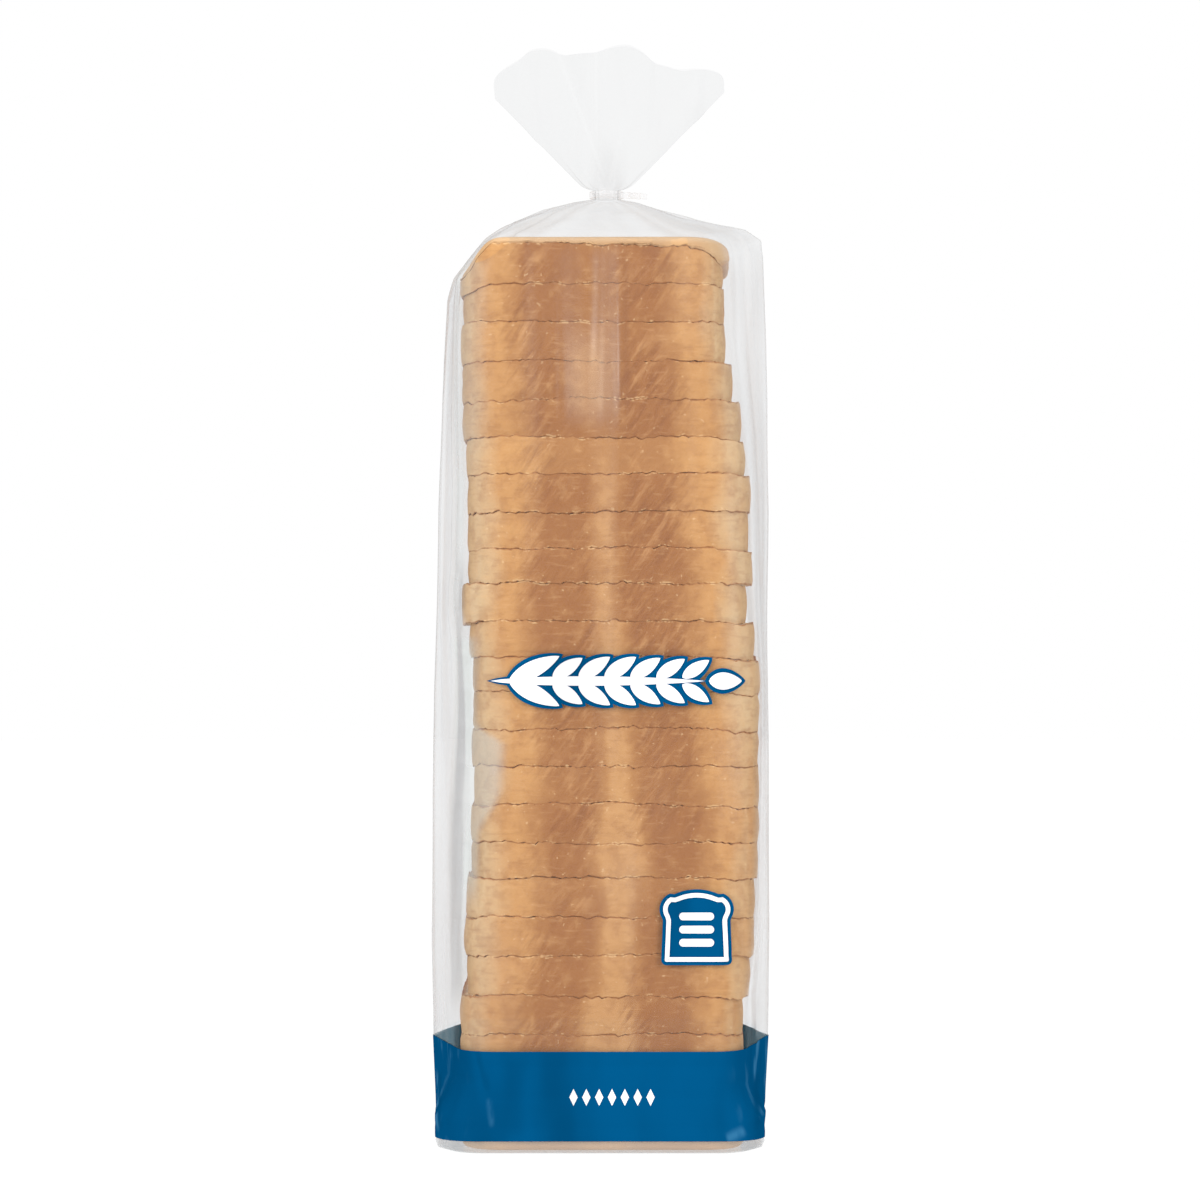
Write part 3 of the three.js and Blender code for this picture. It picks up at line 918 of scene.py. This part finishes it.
def crust_ends(paint, settings, base, drift):
    """The colour with painted shade on the corners where the crust turns to the side, pale heels, the
    browned face on top, and crumb on the cut faces.
    """
    place = paint.place()
    x, y, z = paint.axes(place)
    to_edge = abs(x).at_least(abs(y)).between(0.030, 0.049)
    end_crust = paint.blend(drift.between(0.35, 0.65), srgb(170, 122, 80), srgb(204, 160, 112))
    pores = paint.noise(place, 420.0, 3.0, 0.65).between(0.52, 0.66)
    return paint.coats(base, (
        # Painted shade: a dull olive strip where the corner crust turns away to the side
        (paint.value("turned").span(0.74, 0.94, 0.985, 0.999) * 0.25, srgb(156, 138, 98)),
        (paint.value("heel") * 0.6, srgb(200, 164, 122)),
        (z.between(0.3262, 0.3290) * 0.5, srgb(220, 194, 160)),
        (z.between(0.3284, 0.3290) * (0.85 - to_edge * 0.7), end_crust),
        (paint.value("crumb"), paint.blend(pores * 0.35, settings.crumb, srgb(214, 190, 150)))))


def crust_material(settings):
    """Bread crust: pale at the corners, brown to both sides of a lighter middle line, crumb at the cuts."""
    paint = Paint("crust")
    place = paint.place()
    x, y, z = paint.axes(place)
    drift = paint.noise(paint.stretched((1.0, 1.0, 0.3)), 90.0, 3.0)
    fine = paint.noise(place, 800.0, 4.0, 0.6)
    mottle = paint.noise(place, 190.0, 3.0, 0.6)
    base = crust_zones(paint, settings, drift)
    base, wrinkles = slanting_wrinkles(paint, base)
    base = crust_grain(paint, base, mottle)
    # Painted shadow: a soft dark brown line where a crease shades the front of the top slices
    crease_shadow = paint.line(x, z, *CREASE_SHADOW) * y.below(-0.045, -0.040)
    base = paint.blend(crease_shadow * 0.35, base, srgb(132, 84, 52))
    base = crust_at_cuts(paint, base, fine)
    base = crust_ends(paint, settings, base, drift)
    height = wrinkles * 0.7 + fine * 0.35 + mottle * 0.3
    shader = paint.surface(
        Base_Color=base, Roughness=0.60 + fine * 0.1, Specular_IOR_Level=0.25,
        Normal=paint.bump(height, 0.0006, 0.7))
    return paint.finish(shader)


def mirrored_mark(paint, x, z, clouds):
    """The upright mark that the film mirrors below its neck, and the warm glow in it, each from 0 to 1.

    It is a strip and a glow with wandering edges, two thin streaks, and faint lines beside the strip.
    """
    top = z.between(0.258, 0.272) * (1 - z.between(0.285, 0.310) * 0.5) * z.below(0.320, 0.329)
    pull = paint.noise(paint.stretched((1.0, 1.0, 0.035)), 150.0, 2.0)
    wander = x + (clouds - 0.5) * 0.004
    strip = wander.span(-0.0050, 0.0, 0.0056, 0.0082) * (pull.between(0.40, 0.60) * 0.7 + 0.3)
    glow = abs(wander + 0.004).below(0.001, 0.012) * z.below(0.284, 0.300)
    streaks = paint.line(wander, z, (-0.0012, 0.3245), (-0.0022, 0.2850), 0.0018) * 0.45
    streaks = streaks + paint.line(wander, z, (0.0064, 0.3130), (0.0070, 0.2720), 0.0006) * 0.4
    beside = abs(x + 0.012).below(0.001, 0.010) * pull.between(0.44, 0.64) * 0.25
    return top * (strip * 0.52 + glow * 0.45 + streaks + beside), glow * top


def doubled_film(edge, z, clouds):
    """Haze where the film lies double over the loaf's left, in a low, a middle and a high stretch."""
    wider = z.span(0.112, 0.132, 0.146, 0.155) * 0.0088
    low = (edge - wider).below(-0.0462, -0.0415) * z.span(0.085, 0.10, 0.183, 0.187)
    middle = edge.below(-0.0505, -0.0490) * z.span(0.175, 0.18, 0.24, 0.25)
    high = edge.below(-0.0480, -0.0380) * z.span(0.235, 0.26, 0.318, 0.326)
    return low * (clouds.between(0.38, 0.62) * 0.12 + 0.15) + middle * 0.14 + high * 0.13


def fan_folds(x, z):
    """How much clearer the fan is along a slanting fold and an upright one, less a milky strip beside."""
    across_fold = x + 0.0119 + (z - 0.3921) * 0.373
    slanting = abs(across_fold).below(0.0002, 0.0011) * z.between(0.352, 0.36) * 0.03
    milky = abs(across_fold - 0.004).below(0.0, 0.004) * 0.012
    upright = abs(x + 0.0015).below(0.0002, 0.0010) * z.between(0.368, 0.376) * 0.02
    return slanting - milky + upright


def film_material(settings):
    """Clear film: it lets light through, mirrors more at a slant, and scatters a little along faint streaks.

    What it mirrors grows with the fourth power of the slant, the same from both of its sides. It is milkier
    at the sides, at the foot, where it lies double and where it is gathered above the tie. A darker grey
    strip of painted shade runs down inside its left side.
    """
    paint = Paint("film")
    x, y, z = paint.axes(paint.place())
    streaks = paint.noise(paint.stretched((1.0, 1.0, 0.05)), 90.0, 2.0, 0.5)
    clouds = paint.noise(paint.stretched((1.0, 1.0, 0.5)), 32.0, 2.0)
    edge = x + (paint.noise(paint.stretched((1.0, 1.0, 0.3)), 60.0, 2.0) - 0.5) * 0.006
    fan = z.between(0.3465, 0.3535)
    shoulder = z.between(0.326, 0.333) * (1 - fan)
    mirrored, glow = mirrored_mark(paint, x, z, clouds)
    doubled = doubled_film(edge, z, clouds) * y.below(-0.03, -0.02)
    left_side = x.below(-0.0540, -0.0520) * z.below(0.12, 0.24) * (0.11 - z.between(0.08, 0.12) * 0.04)
    right_low = x.between(0.0560, 0.0580) * z.below(0.13, 0.17) * 0.07
    # Painted shade: a darker grey strip down the inside of the film's left side
    inner_shade = (edge + z.below(0.11, 0.18) * 0.0030).between(-0.0530, -0.0510) * edge.below(-0.0500, -0.0485)
    inner_shade = inner_shade * z.span(0.045, 0.060, 0.20, 0.22)
    gathered = fan * z.below(0.353, 0.374) * abs(x - 0.0030).below(0.001, 0.009)
    printed = z.between(0.0046, 0.0050) * (z + y.at_most(0.0) * 0.23).below(0.0358, 0.0372)

    haze = settings.haze + streaks.between(0.5, 0.7) * 0.03 + clouds.between(0.5, 0.8) * 0.03
    haze = haze + mirrored * 0.28 + inner_shade * 0.10 + fan * (0.012 - fan_folds(x, z)) + shoulder * 0.02
    haze = haze + doubled + left_side + right_low + gathered * 0.14
    haze = haze.at_least(0.0) + z.below(0.0042, 0.0050) * 0.20
    crinkle = paint.noise(paint.stretched((1.0, 1.0, 0.12)), 60.0, 2.0)
    bump = paint.bump(crinkle, 0.0004, 0.25)
    slant = paint.node("ShaderNodeLayerWeight", None, {"Blend": 0.5, "Normal": bump}, output=1)
    gloss = slant ** 4 * (1 - fan * 0.5 - shoulder * 0.25) * (1 - printed * 0.8) * settings.gloss
    base = paint.blend(fan * 0.9 + shoulder * 0.2, (0.61, 0.63, 0.65, 1.0), (0.42, 0.425, 0.43, 1.0))
    base = paint.coats(base, (
        (doubled * 3.0, (0.56, 0.62, 0.60, 1.0)),
        (mirrored, (0.80, 0.66, 0.58, 1.0)),
        (glow, (0.95, 0.72, 0.50, 1.0)),
        (printed, (0.32, 0.64, 0.82, 1.0)),
        (inner_shade, (0.30, 0.31, 0.32, 1.0))))
    body = paint.surface(Base_Color=base, Roughness=0.16, Normal=bump)
    return paint.see_through((haze + gloss).at_most(0.6), (0.963, 0.965, 0.966, 1.0), body)


def ink_material(name, colour, creases=()):
    """Ink printed on film: an even matt colour with faint upright shading.

    Creases are pairs of ends on the front, with half a width and how strong a painted highlight or, below 0,
    a painted shade is drawn along each. When they are given, both ends of the band get painted shade, and
    its crumpled sides painted highlights and shade.
    """
    paint = Paint(name)
    x, y, z = paint.axes(paint.place())
    shade = paint.noise(paint.stretched((1.0, 1.0, 0.3)), 42.0, 2.0)
    crumple = paint.noise(paint.stretched((1.0, 1.0, 0.4)), 130.0, 3.0)
    # deep is the ink darkened for painted shade, and pale a light blue for painted highlights
    deep = tuple(0.72 * part for part in colour[:3]) + (1.0,)
    pale = srgb(74, 140, 178)
    base = paint.blend(shade.below(0.25, 0.60), colour, deep)
    if creases:
        side = abs(x).between(0.044, 0.060)
        wavy = x + (shade - 0.5) * 0.008 + (z - 0.02) * 0.25
        base = paint.coats(base, (
            # Painted shade at both ends of the band beside its folds, then painted highlights and painted
            # shade on the crumples of its sides
            (wavy.below(-0.0455, -0.0410) * 0.55 + wavy.between(0.046, 0.056) * 0.5, deep),
            (crumple.between(0.56, 0.70) * side * 0.25, pale),
            (crumple.below(0.34, 0.46) * side * 0.5, deep)))
    # Painted highlights (pale) and painted shade (deep) along each crease
    for start, end, half_width, strength in creases:
        mark = paint.line(x + (crumple - 0.5) * 0.003, z, start, end, half_width)
        if strength > 0:
            mark = mark * crumple.between(0.42, 0.56)
        base = paint.blend(mark * abs(strength), base, pale if strength > 0 else deep)
    shader = paint.surface(
        Base_Color=base, Roughness=0.45 + shade * 0.08, Specular_IOR_Level=0.0,
        Normal=paint.bump(crumple, 0.0004, 0.35))
    return paint.finish(shader)


def tie_material():
    """The tie's clear plastic, paler and less clear than the film."""
    paint = Paint("clear_tie")
    grain = paint.noise(paint.place(), 900.0, 2.0)
    body = paint.surface(Base_Color=(0.88, 0.88, 0.89, 1.0), Roughness=0.20 + grain * 0.12)
    slant = paint.node("ShaderNodeLayerWeight", None, {"Blend": 0.5}, output=1)
    return paint.see_through(0.12 + slant ** 3 * 0.35, (0.97, 0.97, 0.97, 1.0), body)


class AddSlices(bpy.types.Operator):
    """Make the loaf's slices, heel to heel"""
    bl_idname = "bagged_loaf.add_slices"
    bl_label = "Slices"

    def execute(self, context):
        settings = context.scene.loaf_bread
        material = crust_material(settings)
        for number in range(len(CUTS) + 1):
            grid, values = slice_grid(number, settings.unevenness)
            ends = grid[0].mean(0), grid[-1].mean(0)
            make_piece(f"slice_{number + 1:02d}", grid, material, "bag", first=ends[0], last=ends[1],
                       values=values)
        return {"FINISHED"}


def film_heights():
    """Heights of the film's rows, closer at the foot and over the shoulders."""
    return np.concatenate([
        FOOT_HEIGHTS, np.arange(BODY_START, SHOULDER_LOW, BODY_STEP),
        np.arange(SHOULDER_LOW, NECK_LOW, SHOULDER_STEP), [NECK_LOW]])


class AddFilm(bpy.types.Operator):
    """Make the clear film from the foot to the rim of the fan"""
    bl_idname = "bagged_loaf.add_film"
    bl_label = "Film"

    def execute(self, context):
        material = film_material(context.scene.loaf_film)
        body = film_body(film_heights())
        foot_rings = body[:1] * FOOT_SCALES[:, None, None]
        grid = np.concatenate([foot_rings, body, fan_grid(FAN_ROWS)])
        make_piece("film", grid, material, "bag", first=(0.0, 0.0, 0.0))
        return {"FINISHED"}


def diamond(step):
    """A diamond some steps from the middle of the row: its width shrinks evenly to nearly a point."""
    share = np.linspace(-1, 1, 9)[:, None]
    side = np.linspace(-1, 1, 9)[None]
    x = ROW_CENTRE[0] + DIAMOND_PITCH * step + DIAMOND_HALF[0] * side * (1 - np.abs(share) * 0.98)
    z = ROW_CENTRE[1] + DIAMOND_HALF[1] * share * np.ones_like(side)
    return film_front(x, z, PRINT_LIFT + LAYER_LIFT)


class AddBand(bpy.types.Operator):
    """Make the printed band round the foot and the row of diamonds on it"""
    bl_idname = "bagged_loaf.add_band"
    bl_label = "Foot band"

    def execute(self, context):
        settings = context.scene.loaf_print
        blue = ink_material("blue_ink", settings.blue, BAND_CREASE_LIGHT_AND_SHADE)
        white = ink_material("white_ink", settings.white)
        rows = film_heights()
        between = rows[(rows > settings.band_low + 0.0002) & (rows < settings.band_high - 0.0002)]
        grid = film_body(np.concatenate([[settings.band_low], between, [settings.band_high]]))
        grid = grid + PRINT_LIFT * outward(grid)
        make_piece("foot_band", grid, blue, "bag")
        steps = np.arange(DIAMONDS) - DIAMONDS // 2
        make_piece("diamond_row", [diamond(step) for step in steps], white, "bag", wrap=False)
        return {"FINISHED"}


def blade(root, angle, length, width, grow):
    """A pointed oval from root at an angle, wider by grow all round: its half width is a power of a sine."""
    share = np.linspace(0, 1, 25)[:, None]
    side = np.linspace(-1, 1, 9)[None]
    along = -grow + (length + 2 * grow) * share
    half = (width / 2 + grow) * np.maximum(np.sin(np.pi * share ** 0.85), 0.002) ** 0.75
    ahead, beside = np.array([np.cos(angle), np.sin(angle)]), np.array([-np.sin(angle), np.cos(angle)])
    flat = root + along[..., None] * ahead + (half * side)[..., None] * beside
    return flat.transpose(1, 0, 2)[::-1]


def ear_blades(width, grow):
    """The ear of wheat, lying with its tip to the right: a stalk, two leaves, pairs of grains and a tip."""
    x, z = MOTIF_CENTRE
    left = x - width / 2
    blades = [blade(np.array([left + STALK_START, z]), 0.0, width * STALK_SHARE, STALK_WIDTH, grow)]
    for sign in (1, -1):
        blades.append(blade(np.array([left + LEAF_START, z]), sign * LEAF_ANGLE, *LEAF_SIZE, grow))
    for pair in range(GRAIN_PAIRS):
        length, breadth = (1 - 0.05 * abs(pair - 1.5)) * np.array(GRAIN_SIZE)
        for sign in (1, -1):
            root = np.array([left + GRAIN_START + GRAIN_PITCH * pair, z + sign * GRAIN_OFFSET])
            blades.append(blade(root, sign * GRAIN_ANGLE, length, breadth, grow))
    blades.append(blade(np.array([left + TIP_START, z]), 0.0, width - TIP_START, TIP_WIDTH, grow))
    return blades


class AddMotif(bpy.types.Operator):
    """Make the ear of wheat across the front, white with a blue outline"""
    bl_idname = "bagged_loaf.add_motif"
    bl_label = "Ear of wheat"

    def execute(self, context):
        settings = context.scene.loaf_print
        layers = (("ear_outline", "print_blue", settings.blue, EAR_OUTLINE, 0.0),
                  ("ear", "print_white", settings.white, 0.0, 3 * LAYER_LIFT))
        for name, slot, colour, grow, lift in layers:
            grids = []
            for number, flat in enumerate(ear_blades(settings.motif_width, grow)):
                own = PRINT_LIFT + lift + BLADE_LIFT * number
                grids.append(film_front(flat[..., 0], flat[..., 1], own))
            make_piece(name, grids, ink_material(name + "_ink", colour), "bag", wrap=False)
        return {"FINISHED"}


def slice_outline(shrink, count=120):
    """The outline of a slice of bread, seen flat: a body with small round feet under a wider domed top.

    It runs from the middle of the foot over the foot's corner, the waist, the side lobe and the dome, and
    back the same way mirrored. shrink draws it in all round.
    """
    foot, lobe = 0.0018, 0.0062
    half_foot, waist, half_top, low, high = 0.0127, 0.0121, 0.0133, -0.0136, 0.0136
    foot_arc = np.array([half_foot - foot, low + foot]) + foot * circle(np.linspace(-np.pi / 2, 0, 8))
    neck = np.array([[waist, 0.0024]])
    lobe_arc = np.array([half_top - lobe, 0.0064]) + lobe * circle(np.linspace(-0.55, 1.15, 16))
    turn = np.linspace(1.02, np.pi / 2, 12)
    dome = np.stack([0.0150 * np.cos(turn), 0.0020 + (high - 0.0020) * np.sin(turn)], -1)
    half = np.vstack([[(0.0, low)], foot_arc, neck, lobe_arc, dome])
    whole = np.vstack([half, (half * np.array([-1, 1]))[::-1]])
    outline = respace(whole, count)[:-1]
    return outline - shrink * outline_normals(outline)


def capsule(centre, length, width, count=40):
    """A flat bar with round ends, as rings from its middle out, (rings, count, 2)."""
    turn = np.linspace(0, 2 * np.pi, count, endpoint=False) - np.pi / 2
    rim = width / 2 * circle(turn)
    rim[:, 0] += np.sign(np.cos(turn)) * (length - width) / 2
    return np.array(centre) + np.linspace(0.02, 1, 4)[:, None, None] * rim


class AddBadge(bpy.types.Operator):
    """Make the badge at the lower right: a slice of bread with a white line and three bars"""
    bl_idname = "bagged_loaf.add_badge"
    bl_label = "Badge"

    def execute(self, context):
        settings = context.scene.loaf_print
        centre = np.array(BADGE_CENTRE)
        rings = np.linspace(0.02, 1, 10)[:, None, None] * slice_outline(0.0) + centre
        blue = ink_material("badge_ink", settings.blue)
        white = ink_material("badge_line_ink", settings.white)
        field = film_front(rings[..., 0], rings[..., 1], PRINT_LIFT)
        make_piece("badge", field, blue, "bag", first=field[0].mean(0))
        line = np.stack([slice_outline(inset) for inset in LINE_INSETS]) + centre
        marks = [film_front(line[..., 0], line[..., 1], PRINT_LIFT + 2 * LAYER_LIFT)]
        for step in (-1, 0, 1):
            bar = capsule(centre + np.array([0.0, BAR_PITCH * step - BAR_DROP]), *BAR_SIZE)
            marks.append(film_front(bar[..., 0], bar[..., 1], PRINT_LIFT + 2 * LAYER_LIFT))
        make_piece("badge_marks", marks, white, "bag")
        return {"FINISHED"}


class DressTie(bpy.types.Operator):
    """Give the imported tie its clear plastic"""
    bl_idname = "bagged_loaf.dress_tie"
    bl_label = "Tie"

    def execute(self, context):
        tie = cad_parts["tie"]
        tie.data.materials.clear()
        tie.data.materials.append(tie_material())
        return {"FINISHED"}


def add_softbox(name, place, width, height, power):
    """A rectangular lamp at place that faces the loaf."""
    lamp = bpy.data.lights.new(name, "AREA")
    lamp.shape = "RECTANGLE"
    lamp.size, lamp.size_y = width, height
    lamp.energy = power
    holder = bpy.data.objects.new(name, lamp)
    holder.location = place
    holder.rotation_euler = (Vector(LAMP_TARGET) - Vector(place)).to_track_quat("-Z", "Y").to_euler()
    bpy.context.scene.collection.objects.link(holder)


def sky():
    """White where the camera looks past the pack, and a softer room for what is lit or mirrored."""
    world = bpy.data.worlds.new("studio")
    bpy.context.scene.world = world
    world.use_nodes = True
    tree = world.node_tree
    tree.nodes.clear()
    seen = tree.nodes.new("ShaderNodeLightPath")
    white = tree.nodes.new("ShaderNodeBackground")
    white.inputs["Color"].default_value = (1.0, 1.0, 1.0, 1.0)
    room = tree.nodes.new("ShaderNodeBackground")
    room.inputs["Color"].default_value = (0.70, 0.70, 0.705, 1.0)
    mix = tree.nodes.new("ShaderNodeMixShader")
    output = tree.nodes.new("ShaderNodeOutputWorld")
    tree.links.new(seen.outputs["Is Camera Ray"], mix.inputs[0])
    tree.links.new(room.outputs[0], mix.inputs[1])
    tree.links.new(white.outputs[0], mix.inputs[2])
    tree.links.new(mix.outputs[0], output.inputs["Surface"])


def floor_material():
    """A pale floor that glows enough to stay even."""
    paint = Paint("floor")
    matte = paint.surface(Base_Color=(0.8, 0.8, 0.8, 1.0), Roughness=0.9)
    glow = paint.node("ShaderNodeEmission", None, {"Color": (1.0, 1.0, 1.0, 1.0), "Strength": 1.06})
    return paint.finish(paint.node("ShaderNodeMixShader", None, {0: 0.94, 1: matte, 2: glow}))


def add_floor():
    """A round floor just under the foot: rings of points at even radii, the inmost one filled."""
    radius = np.linspace(0.05, FLOOR_RADIUS, FLOOR_RINGS)[:, None, None]
    rim = circle(np.linspace(0, 2 * np.pi, FLOOR_COLUMNS, endpoint=False))[None] * radius
    points = np.concatenate([rim, np.full((*rim.shape[:2], 1), FLOOR_HEIGHT)], -1)[::-1]
    inmost = np.arange(FLOOR_COLUMNS) + (FLOOR_RINGS - 1) * FLOOR_COLUMNS
    faces = grid_faces(FLOOR_RINGS, FLOOR_COLUMNS, True).tolist() + [inmost.tolist()]
    mesh = bpy.data.meshes.new("floor")
    mesh.from_pydata(points.reshape(-1, 3).tolist(), [], faces)
    mesh.materials.append(floor_material())
    floor = bpy.data.objects.new("floor", mesh)
    bpy.context.scene.collection.objects.link(floor)


def add_camera():
    """A camera straight in front of the pack, with a long lens."""
    eye = bpy.data.cameras.new("camera")
    eye.lens = CAMERA_LENS
    eye.sensor_width = SENSOR_WIDTH
    camera = bpy.data.objects.new("camera", eye)
    camera.location = (0.0, -CAMERA_DISTANCE, CAMERA_HEIGHT)
    camera.rotation_euler = (np.pi / 2, 0.0, 0.0)
    bpy.context.scene.collection.objects.link(camera)
    bpy.context.scene.camera = camera


class AddStage(bpy.types.Operator):
    """Make the floor, the lamps, the room and the camera"""
    bl_idname = "bagged_loaf.add_stage"
    bl_label = "Stage"

    def execute(self, context):
        add_floor()
        for name, lamp in SOFTBOXES.items():
            add_softbox(name, *lamp)
        sky()
        add_camera()
        context.scene.view_settings.view_transform = "Standard"
        return {"FINISHED"}


class LoafPanel(bpy.types.Panel):
    """The loaf's settings and the operators that make its pieces"""
    bl_idname = "VIEW3D_PT_bagged_loaf"
    bl_label = "Bagged loaf"
    bl_space_type = "VIEW_3D"
    bl_region_type = "UI"
    bl_category = "Loaf"

    def draw(self, context):
        for settings in (context.scene.loaf_bread, context.scene.loaf_film, context.scene.loaf_print):
            box = self.layout.box()
            for key in settings.__annotations__:
                box.prop(settings, key)
        for operator in OPERATORS:
            self.layout.operator(operator.bl_idname)


OPERATORS = (AddSlices, AddFilm, AddBand, AddMotif, AddBadge, DressTie, AddStage)
SETTINGS = {"loaf_bread": LoafSettings, "loaf_film": FilmSettings, "loaf_print": PrintSettings}


def register():
    for kind in (*SETTINGS.values(), *OPERATORS, LoafPanel):
        bpy.utils.register_class(kind)
    for name, kind in SETTINGS.items():
        setattr(bpy.types.Scene, name, bpy.props.PointerProperty(type=kind))


def unregister():
    for name in SETTINGS:
        delattr(bpy.types.Scene, name)
    for kind in (LoafPanel, *reversed(OPERATORS), *SETTINGS.values()):
        bpy.utils.unregister_class(kind)


def main():
    """Makes every piece in order."""
    register()
    for operator in OPERATORS:
        group, name = operator.bl_idname.split(".")
        getattr(getattr(bpy.ops, group), name)()


if __name__ == "__main__":
    main()
